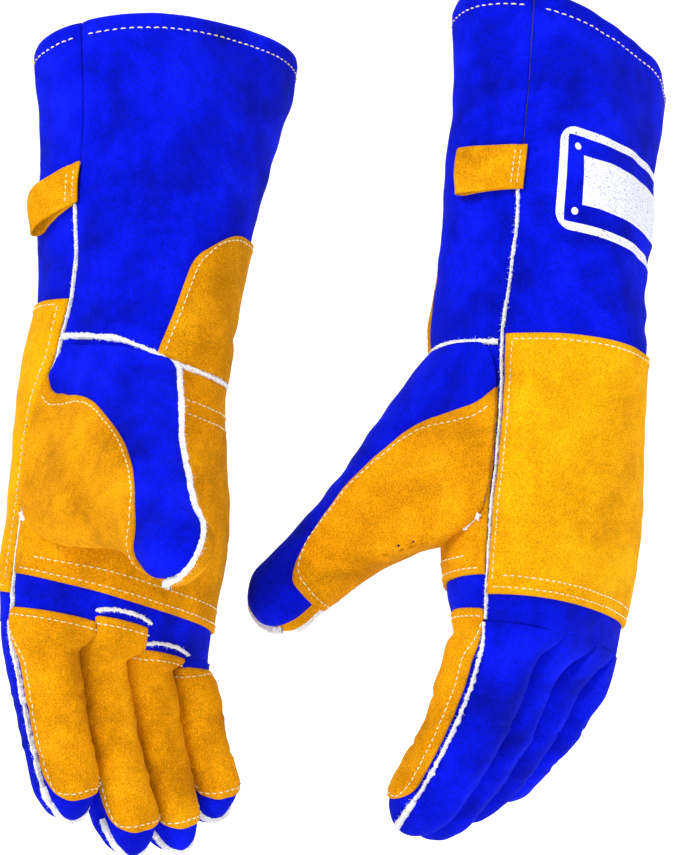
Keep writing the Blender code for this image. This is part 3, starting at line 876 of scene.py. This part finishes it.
def ramp_node(tree, value, stops):
    made = tree.nodes.new("ShaderNodeValToRGB")
    elements = made.color_ramp.elements
    while len(elements) < len(stops):
        elements.new(0.5)
    for element, (position, colour) in zip(elements, stops):
        element.position = position
        element.color = (*colour, 1.0)
    tree.links.new(value, made.inputs["Fac"])
    return made.outputs["Color"]


def mix_node(tree, blend, first, second, share):
    made = tree.nodes.new("ShaderNodeMix")
    made.data_type = "RGBA"
    made.blend_type = blend
    made.inputs[0].default_value = share
    tree.links.new(first, made.inputs[6])
    tree.links.new(second, made.inputs[7])
    return made.outputs[2]


def add_node(tree, first, second, weight):
    """The first value plus the second one times a weight."""
    made = tree.nodes.new("ShaderNodeMath")
    made.operation = "MULTIPLY_ADD"
    tree.links.new(second, made.inputs[0])
    made.inputs[1].default_value = weight
    tree.links.new(first, made.inputs[2])
    return made.outputs[0]


def suede(name, dark, middle, light, sheen, tint, grain=1.0, rough=0.92):
    """Napped leather: broad patches where the nap lies one way or the other, fine fibres, and pores."""
    made = bpy.data.materials.new(name)
    made.use_nodes = True
    tree = made.node_tree
    shader = tree.nodes["Principled BSDF"]
    where = tree.nodes.new("ShaderNodeTexCoord").outputs["Object"]
    broad = noise_node(tree, where, NAP_SCALE, 5, 0.6)
    patchy = noise_node(tree, where, MOTTLE_SCALE, 4, 0.6)
    fibres = noise_node(tree, where, FIBRE_SCALE, 4, 0.75)
    specks = noise_node(tree, where, PORE_SCALE, 2, 0.6)
    colour = ramp_node(tree, broad, ((0.30, dark), (0.52, middle), (0.74, light)))
    mottle = ramp_node(tree, patchy, ((0.35, (0.84, 0.84, 0.84)), (0.62, (1.08, 1.08, 1.08))))
    nap = ramp_node(tree, fibres, ((0.36, (0.48, 0.48, 0.48)), (0.64, (1.38, 1.38, 1.38))))
    colour = mix_node(tree, "MULTIPLY", colour, mottle, 0.55)
    colour = mix_node(tree, "MULTIPLY", colour, nap, 0.85)
    tree.links.new(colour, shader.inputs["Base Color"])
    height = add_node(tree, add_node(tree, fibres, patchy, 0.8), specks, 0.5)
    bump = tree.nodes.new("ShaderNodeBump")
    bump.inputs["Strength"].default_value = 0.55 * grain
    bump.inputs["Distance"].default_value = 0.0006
    tree.links.new(height, bump.inputs["Height"])
    tree.links.new(bump.outputs["Normal"], shader.inputs["Normal"])
    shader.inputs["Roughness"].default_value = rough
    shader.inputs["Specular IOR Level"].default_value = 0.04
    shader.inputs["Sheen Weight"].default_value = sheen
    shader.inputs["Sheen Roughness"].default_value = 0.45
    shader.inputs["Sheen Tint"].default_value = (*tint, 1.0)
    return made


def printed(name, base):
    """White print that has worn through to the leather in specks."""
    made = base.copy()
    made.name = name
    tree = made.node_tree
    shader = tree.nodes["Principled BSDF"]
    where = tree.nodes.new("ShaderNodeTexCoord").outputs["Object"]
    wear = noise_node(tree, where, WEAR_SCALE, 4, 0.75)
    worn = ramp_node(tree, wear, ((0.385, (0.010, 0.018, 0.560)), (0.425, (0.780, 0.790, 0.830))))
    tree.links.new(worn, shader.inputs["Base Color"])
    return made


def make_finishes():
    """The gloves' materials, by name."""
    made = {key: suede(name, *look) for key, (name, *look) in SUEDES.items()}
    made["print"] = printed("white print", made["blue"])
    return made


# The gloves' pieces.


def const(value):
    """A border that stays at one value."""
    return lambda u: np.full(np.shape(u), float(value))


def angle_of(degrees):
    """A border that stays at one angle."""
    return const(math.radians(degrees))


def between(start, end):
    """A border that runs evenly from one value to another."""
    return lambda u: start + (end - start) * np.asarray(u, float)


def maker(name, finishes, tie):
    """A way to make a sub-part's pieces, to pass each to the given tie and to hide the solids it stands for.
    """

    def make(piece, parts, finish, *solids):
        made = add_mesh(f"{name}_{piece}", parts, finishes[finish])
        tie(made)
        if solids:
            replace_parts(made, *(f"{name}_{solid}" for solid in solids))
        return made

    return make


def hand_maker(side, name, finishes):
    """For pieces that ride on a glove's hand."""

    def tie(made):
        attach(made, f"{side.name}_hand")

    return maker(name, finishes, tie)


def bent_maker(name, finishes, end):
    """For pieces whose points are baked into the shared frame, tied to no body."""

    def tie(made):
        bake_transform(made)

    return maker(name, finishes, tie)


def sewn(surface, outline, rows, height=PATCH):
    """Rows of stitches on a patch."""
    return [stitch_part(surface, *outline.run(inset, sides), height, seed) for inset, sides, seed in rows]


def palm_patch_top(u):
    """Where the palm's patch starts: at the wrist on the heel of the hand, lower down under the thumb."""
    return WRIST - 0.001 - 0.021 * (1 - smoothstep((np.asarray(u, float) - 0.14) / 0.24))


def hand_leather(side, surface, finishes):
    """The back, the palm side of the cuff and of the hand, and the lining. Each sheet is closed."""
    make = hand_maker(side, side.name, finishes)
    low = KNUCKLES - 0.0006
    palm = np.radians(np.linspace(0.3, 179.7, 110))
    back = np.radians(np.linspace(180.3, 359.7, 110))
    turn = np.linspace(0, 2 * math.pi, 120)
    leather = (0.0, -LEATHER)
    lining = (-LINING_TOP, -LINING_DEPTH)
    sheets = (
        ("back_leather", np.linspace(RIM, low, 170), back, leather, True, "blue", "back_panel"),
        ("cuff_leather", np.linspace(RIM, WRIST, 90), palm, leather, True, "blue", "cuff_palm_panel"),
        ("palm_leather", np.linspace(WRIST, low, 80), palm, leather, False, "blue", "palm_panel"),
        ("cotton", np.linspace(RIM - 0.0012, KNUCKLES, 90), turn, lining, True, "cotton", "lining"),
    )
    for piece, levels, angles, heights, cut_top, finish, solid in sheets:
        a, b = np.meshgrid(levels, angles, indexing="ij")
        make(piece, [sheet_part(surface, a, b, *heights, cut_top)], finish, solid)


def hand_patches(side, surface, finishes):
    """The patches on the back, the palm and the cuff, with their stitches."""
    make = hand_maker(side, side.name, finishes)
    top = between(side.patch_top + 0.001, side.patch_top - 0.006)
    back = Outline(surface, top, between(-0.120, -0.1265), angle_of(181), angle_of(358.6))
    palm = Outline(surface, palm_patch_top, between(-0.118, -0.1225), angle_of(1.4), angle_of(179))
    cuff = Outline(
        surface,
        between(0.059, 0.062),
        const(WRIST + 0.001),
        between(math.radians(84), math.radians(66)),
        angle_of(179),
        radius=0.026,
        corners=(1, 0, 0, 0),
    )
    patches = (
        (back, BACK_SEWING, "back_wear_patch", "gold", "back_patch"),
        (palm, PALM_SEWING, "palm_wear_patch", "tan", "palm_patch"),
        (cuff, CUFF_SEWING, "cuff_wear_patch", "tan", "cuff_side_patch"),
    )
    thread = []
    for outline, rows, piece, finish, solid in patches:
        make(piece, [patch_part(surface, outline, HAND_CELL, PATCH, PATCH_FOOT)], finish, solid)
        thread += sewn(surface, outline, rows)
    make("patch_thread", thread, "thread")


def hand_seams(side, surface, finishes):
    """The stitched hem at the mouth, the welt down the side seam and the welt round the wrist."""
    make = hand_maker(side, side.name, finishes)
    hem = []
    for start, end in ((4, 176), (184, 356)):
        turn = np.radians(np.linspace(start, end, 200))
        hem.append(stitch_part(surface, np.full(200, RIM - HEM), turn, 0.0, 12, pitch=0.0040, length=0.0026))
    make("hem_thread", hem, "thread")
    run = (np.linspace(0.066, KNUCKLES, 260), np.zeros(260))
    make("seam_welt", fringed_welt(surface, run, SIDE_WELT, 21), "white", "side_welt")
    turn = np.radians(np.linspace(1, 178, 240))
    rise = 1 - smoothstep((turn - math.radians(35)) / math.radians(50))
    run = (WRIST + side.wrist_rise * rise, turn)
    make("wrist_seam_welt", fringed_welt(surface, run, WRIST_WELT, 23), "white", "wrist_welt")


def tube_fractions(start, end, rows, straight_end):
    """Fractions of a finger's or thumb's length, closer together where its tip rounds off."""
    straight = np.linspace(start, min(end, straight_end), rows)
    if end <= straight_end:
        return straight
    last = math.asin((end - straight_end) / (1 - straight_end))
    turn = np.linspace(0, last, 26)[1:]
    return np.concatenate((straight, straight_end + (1 - straight_end) * np.sin(turn)))


def over_the_tip(out, back):
    """A run out along the seam at angle 0, over the tip and back along the seam on the other side."""
    return np.concatenate((out, back)), np.concatenate((np.zeros(len(out)), np.full(len(back), math.pi)))


def finger_pieces(side, number, finishes):
    """One finger's leather, wear patch, stitches and welts."""
    surface = Surface(side, partial(finger_point, side, number), finger_relief(side, number), -0.12, 0.9999)
    name = f"{side.name}_{FINGERS[number]}"
    length = side.fingers[number][0]
    along, _ = finger_frame(0.0)
    root = finger_root(number)
    start = side.world(root + along * 0.0020)
    make = bent_maker(name, finishes, side.world(root + along * 0.0260))

    rows = tube_fractions(0.0, 0.9999, 60, FINGER_DOME)
    for half, low in (("front", 0.0), ("back", 180.0)):
        cols = np.radians(np.linspace(low, low + 180.0, 56))
        a, b = np.meshgrid(rows, cols, indexing="ij")
        seam = np.minimum(b - cols[0], cols[-1] - b) * FINGER_RADIUS
        held = smoothstep(a * length / 0.012)
        lift = -LIMB_SEAM_DIP * np.exp(-((seam / 0.0016) ** 2)) * held
        make(f"{half}_leather", [skin_part(surface, a, b, lift)], "blue", f"{half}_panel")

    outline = Outline(
        surface,
        const(PATCH_TOPS[number] / length),
        const(0.91),
        angle_of(6 if number == 0 else 13),
        angle_of(168),
        radius=0.018,
        corners=(0.4, 0.4, 1, 1),
    )
    part = patch_part(surface, outline, FINGER_CELL, FINGER_PATCH, LIMB_PATCH_FOOT)
    make("wear_patch", [part], "tan", "patch")
    make("thread", sewn(surface, outline, ((0.0032, ALL_SIDES, 31 + number),), FINGER_PATCH), "thread")

    if number == 0:
        rows = tube_fractions(0.0, 0.995, 120, FINGER_DOME)
        run = (rows, np.zeros(len(rows)))
        make("seam_welt", fringed_welt(surface, run, INDEX_WELT, 41), "white", "welt")
    tip = tube_fractions(0.80, 0.998, 30, FINGER_DOME)
    make("tip_welt", fringed_welt(surface, over_the_tip(tip, tip[::-1]), TIP_WELT, 43), "white")
    if number in (1, 2):
        base = np.radians(np.linspace(158, 22, 80))
        rise = -0.0050 + 0.0080 * np.cos(base) ** 4
        run = ((PATCH_TOPS[number] + rise + 0.001) / length, base)
        parts = fringed_welt(surface, run, BASE_WELT, 45)
        hand_maker(side, name, finishes)("base_welt", parts, "white")


def thumb_patch_edge(side):
    """Where the thumb's patch ends towards the palm-side seam, as an angle over its length."""

    def edge(v):
        steps = [np.interp(v + k, THUMB_EDGE_PLACES, side.thumb_edge) for k in (-0.05, -0.02, 0.02, 0.05)]
        return np.radians(np.mean(steps, axis=0))

    return edge


def thumb_pieces(side, finishes):
    """The thumb's leather, patch, stitches and welts."""
    surface = Surface(side, partial(thumb_point, side), thumb_relief(side), 0.0, 0.9999)
    name = f"{side.name}_thumb"
    along, _, _, root = thumb_frame(side)
    loop = thumb_root(side, np.linspace(0, 1, 60))
    ahead = ((loop - root) @ along).max()
    start = side.world(root + along * (ahead * 0.75))
    end = side.world(root + along * (ahead + 0.030))
    make = bent_maker(name, finishes, end)

    rows = tube_fractions(0.0, 0.9999, 90, THUMB_DOME)
    halves = (
        ("back", 0.0, "blue", ("back_panel",)),
        ("front", 180.0, "tan", ("front_panel", "lining")),
    )
    for half, low, finish, solids in halves:
        cols = np.radians(np.linspace(low, low + 180.0, 84))
        a, b = np.meshgrid(rows, cols, indexing="ij")
        seam = np.minimum(b, 2 * math.pi - b) * THUMB_RADIUS
        web = (b - math.pi) * THUMB_RADIUS
        lift = -LIMB_SEAM_DIP * np.exp(-((seam / 0.0018) ** 2)) - WEB_DIP * np.exp(-((web / 0.0050) ** 2))
        make(f"{half}_leather", [skin_part(surface, a, b, lift)], finish, *solids)

    outline = Outline(
        surface,
        const(0.001),
        const(0.79),
        thumb_patch_edge(side),
        angle_of(THUMB_WEB_SEAM),
        radius=0.034,
        corners=(0, 0, 1, 0),
    )
    make("wear_patch", [patch_part(surface, outline, THUMB_CELL, PATCH, LIMB_PATCH_FOOT)], "tan", "patch")
    make("thread", sewn(surface, outline, ((STITCH_INSET, ("foot", "left"), 51),)), "thread")

    rows = tube_fractions(0.0, 0.998, 160, THUMB_DOME)
    run = over_the_tip(rows, rows[rows > 0.93][::-1])
    make("seam_welt", fringed_welt(surface, run, THUMB_WELT, 61, length=0.0030), "white", "welt")
    run = (np.full(120, 0.006), np.radians(np.linspace(136, 196, 120)))
    parts = fringed_welt(surface, run, ROOT_WELT, 63, low=0.0010)
    rows = tube_fractions(0.010, 0.90, 140, THUMB_DOME)
    run = (rows, np.full(len(rows), math.radians(THUMB_WEB_SEAM + 1.5)))
    parts += fringed_welt(surface, run, WEB_WELT, 65)
    make("web_welt", parts, "white")


def thick_part(points, thickness):
    """A sheet with a real thickness and closed edges, from a grid of points on its middle."""
    along, across = np.gradient(points, axis=0), np.gradient(points, axis=1)
    out = np.cross(across, along)
    out /= np.linalg.norm(out, axis=-1, keepdims=True)
    rows, columns = points.shape[:2]
    half = np.full((rows, columns, 1), thickness / 2)
    half[[0, -1]] *= 0.7
    half[:, [0, -1]] *= 0.7
    faces = facing(points, out, grid_faces(rows, columns))
    both = np.concatenate(((points + out * half).reshape(-1, 3), (points - out * half).reshape(-1, 3)))
    return both, closed_faces(faces, rows, columns)


def loop_path(side):
    """Along the folded strip and back: how far each place stands from the seam, and its height."""
    free = side.loop_reach - LOOP_BEND
    reach, lift = [], []
    for t in np.linspace(0, 1, LOOP_OUTER_PLACES):
        reach.append(-LOOP_TUCK + (free + LOOP_TUCK) * t)
        lift.append(0.0022 + (2 * LOOP_BEND - 0.0012) * smoothstep(t * 1.15))
    for angle in np.radians(np.linspace(90, -90, 14)[1:-1]):
        reach.append(free + LOOP_BEND * math.cos(angle))
        lift.append(LOOP_CLEAR + LOOP_BEND + LOOP_BEND * math.sin(angle))
    for t in np.linspace(1, 0, 20):
        reach.append(0.001 + (free - 0.001) * t)
        lift.append(LOOP_CLEAR)
    return np.array(reach), np.array(lift)


def loop_piece(side, surface, finishes):
    """The folded leather strip, sewn over the side seam at both ends so that its middle stands open."""
    name = f"{side.name}_hang_loop"
    near = surface.shape(np.array([LOOP_HEIGHT]), np.array([-0.02]))
    far = surface.shape(np.array([LOOP_HEIGHT]), np.array([0.02]))
    pace = float(np.linalg.norm(far - near)) / 0.04
    reach, lift = loop_path(side)
    across = np.linspace(-1, 1, 22)
    droop = side.loop_droop * np.maximum(reach, 0.0)[:, None]
    level = LOOP_HEIGHT + across[None, :] * LOOP_HALF_WIDTH - droop
    turn = side.loop_side * reach[:, None] / pace + 0 * level
    curl = 0.0009 * np.sin(across[None, :] * 2.2 + 0.6) * smoothstep(reach / 0.02)[:, None]
    points, _ = surface.at(level, turn, lift[:, None] + np.maximum(curl, -0.0008))
    start = surface.shape(LOOP_HEIGHT, side.loop_side * 0.002 / pace)
    end = surface.shape(LOOP_HEIGHT, side.loop_side * 0.012 / pace)
    make = bent_maker(name, finishes, end)
    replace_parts(make("strip", [thick_part(points, LOOP_THICKNESS)], "tan"), name)
    rows = []
    for distance in (-0.0012, 0.0030):
        place = int(np.abs(reach[:LOOP_OUTER_PLACES] - distance).argmin())
        run = (level[place, 2:-2], turn[place, 2:-2])
        top = lift[place] + LOOP_THICKNESS / 2
        rows.append(stitch_part(surface, *run, top, 71, pitch=0.0028, length=0.0019))
    hand_maker(side, name, finishes)("thread", rows, "thread")


def ring_part(surface, outline, outer, inner):
    """A printed line that follows an outline, between two distances inside it."""
    rows = [outline.run(outer + (inner - outer) * t, ALL_SIDES) for t in np.linspace(0, 1, 5)]
    a = np.stack([row[0] for row in rows])
    b = np.stack([row[1] for row in rows])
    return skin_part(surface, a, b, PRINT_LIFT, closed=True)


def dot_part(surface, outline, u, v, radius):
    """A printed dot about one place in an outline."""
    turn = np.linspace(0, 2 * math.pi, 24, endpoint=False)
    rings = np.array((0.02, 0.5, 1.0))[:, None] * radius
    us = u + rings * np.cos(turn) / outline.width
    vs = v + rings * np.sin(turn) / outline.height
    return skin_part(surface, *outline.plain(us, vs), PRINT_LIFT, closed=True)


def panel_part(surface, outline, inset):
    """A printed rectangle a distance inside an outline."""
    u, v = inset / outline.width, inset / outline.height
    us, vs = np.meshgrid(np.linspace(u, 1 - u, 60), np.linspace(v, 1 - v, 20))
    return skin_part(surface, *outline.plain(us, vs), PRINT_LIFT)


def mark_piece(side, surface, finishes):
    """A plain printed frame on the back of the cuff, with a dot in each corner and a blank panel in it."""
    middle = 270 + (8 if side.name == "left" else -8)
    outline = Outline(
        surface,
        const(PRINT_LEVELS[0]),
        const(PRINT_LEVELS[1]),
        angle_of(middle - PRINT_HALF_SPAN),
        angle_of(middle + PRINT_HALF_SPAN),
        radius=PRINT_ROUNDING,
        corners=(1, 1, 1, 1),
    )
    parts = [ring_part(surface, outline, 0.0, PRINT_LINE)]
    u, v = PRINT_DOT_INSET / outline.width, PRINT_DOT_INSET / outline.height
    for x in (u, 1 - u):
        for y in (v, 1 - v):
            parts.append(dot_part(surface, outline, x, y, PRINT_DOT_RADIUS))
    parts.append(panel_part(surface, outline, PRINT_PANEL_INSET))
    hand_maker(side, side.name, finishes)("cuff_print", parts, "print")


def make_camera():
    data = bpy.data.cameras.new("camera")
    data.sensor_width = SENSOR
    data.lens = SENSOR * CAMERA_DISTANCE / FRAME_HEIGHT
    made = bpy.data.objects.new("camera", data)
    made.location = Vector((0.0, -CAMERA_DISTANCE, FRAME_MIDDLE)) - Vector(ORIGIN)
    made.rotation_euler = (math.radians(90), 0.0, 0.0)
    bpy.context.scene.collection.objects.link(made)
    bpy.context.scene.camera = made


def area_light(name, place, size, watts):
    data = bpy.data.lights.new(name, "AREA")
    data.size = size
    data.energy = watts
    made = bpy.data.objects.new(name, data)
    made.location = place
    made.rotation_euler = (Vector(LIGHTS_AIM) - Vector(place)).to_track_quat("-Z", "Y").to_euler()
    bpy.context.scene.collection.objects.link(made)


def floor_finish():
    """An even, almost white surface that glows a little."""
    finish = bpy.data.materials.new("pale floor")
    finish.use_nodes = True
    tree = finish.node_tree
    shader = tree.nodes["Principled BSDF"]
    where = tree.nodes.new("ShaderNodeTexCoord").outputs["Object"]
    stops = ((0.3, (0.965, 0.965, 0.965)), (0.7, (0.985, 0.985, 0.985)))
    shade = ramp_node(tree, noise_node(tree, where, 3, 3, 0.55), stops)
    tree.links.new(shade, shader.inputs["Base Color"])
    shader.inputs["Roughness"].default_value = 0.9
    shader.inputs["Specular IOR Level"].default_value = 0.1
    shader.inputs["Emission Color"].default_value = (*WHITE, 1.0)
    shader.inputs["Emission Strength"].default_value = 0.32
    return finish


def make_stage():
    """A pale floor that curves up into a backdrop, soft lights and an even sky."""
    rows = [(-STAGE_REACH, FLOOR_LEVEL)]
    for k in range(25):
        angle = math.radians(90) * k / 24
        depth = BACKDROP_DEPTH + BACKDROP_RADIUS * math.sin(angle)
        rows.append((depth, FLOOR_LEVEL + BACKDROP_RADIUS * (1 - math.cos(angle))))
    rows.append((BACKDROP_DEPTH + BACKDROP_RADIUS, STAGE_REACH))
    points = [[(x, y, z) for x in (-STAGE_HALF_WIDTH, STAGE_HALF_WIDTH)] for y, z in rows]
    stage = add_mesh("floor", [(np.array(points), grid_faces(len(rows), 2))], floor_finish())
    world = bpy.data.worlds.new("sky")
    world.use_nodes = True
    background = world.node_tree.nodes["Background"]
    background.inputs["Color"].default_value = (*WHITE, 1.0)
    background.inputs["Strength"].default_value = 0.62
    bpy.context.scene.world = world
    for light in LIGHTS:
        area_light(*light)
    bpy.context.scene.view_settings.view_transform = "Standard"


def find_origin(record):
    """Where the solids' frame starts, read from the left index finger's knuckle."""
    along, palmar = finger_frame(0.0)
    pivot = finger_root(0) + along * KNUCKLE_GAP / 2 + palmar * KNUCKLE_PALMAR
    joint = next(j for j in record["behaviour"]["joints"] if j["name"] == "left_index_knuckle")
    return LEFT.world(pivot) - np.array(joint["pos_m"])


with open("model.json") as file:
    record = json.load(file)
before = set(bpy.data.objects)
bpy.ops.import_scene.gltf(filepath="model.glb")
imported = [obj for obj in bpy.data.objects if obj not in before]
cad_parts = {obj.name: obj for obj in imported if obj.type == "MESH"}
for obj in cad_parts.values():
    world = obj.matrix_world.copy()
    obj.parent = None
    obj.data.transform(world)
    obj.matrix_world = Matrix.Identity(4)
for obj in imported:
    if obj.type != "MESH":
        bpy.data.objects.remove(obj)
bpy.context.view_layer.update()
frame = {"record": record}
ORIGIN = find_origin(frame["record"])
finishes = make_finishes()
make_camera()
make_stage()
for side in (RIGHT, LEFT):
    hand = Surface(side, partial(hand_point, side), hand_relief(side), KNUCKLES - 0.01, RIM)
    hand_leather(side, hand, finishes)
    hand_patches(side, hand, finishes)
    hand_seams(side, hand, finishes)
    loop_piece(side, hand, finishes)
    mark_piece(side, hand, finishes)
    thumb_pieces(side, finishes)
    for number in range(len(FINGERS)):
        finger_pieces(side, number, finishes)
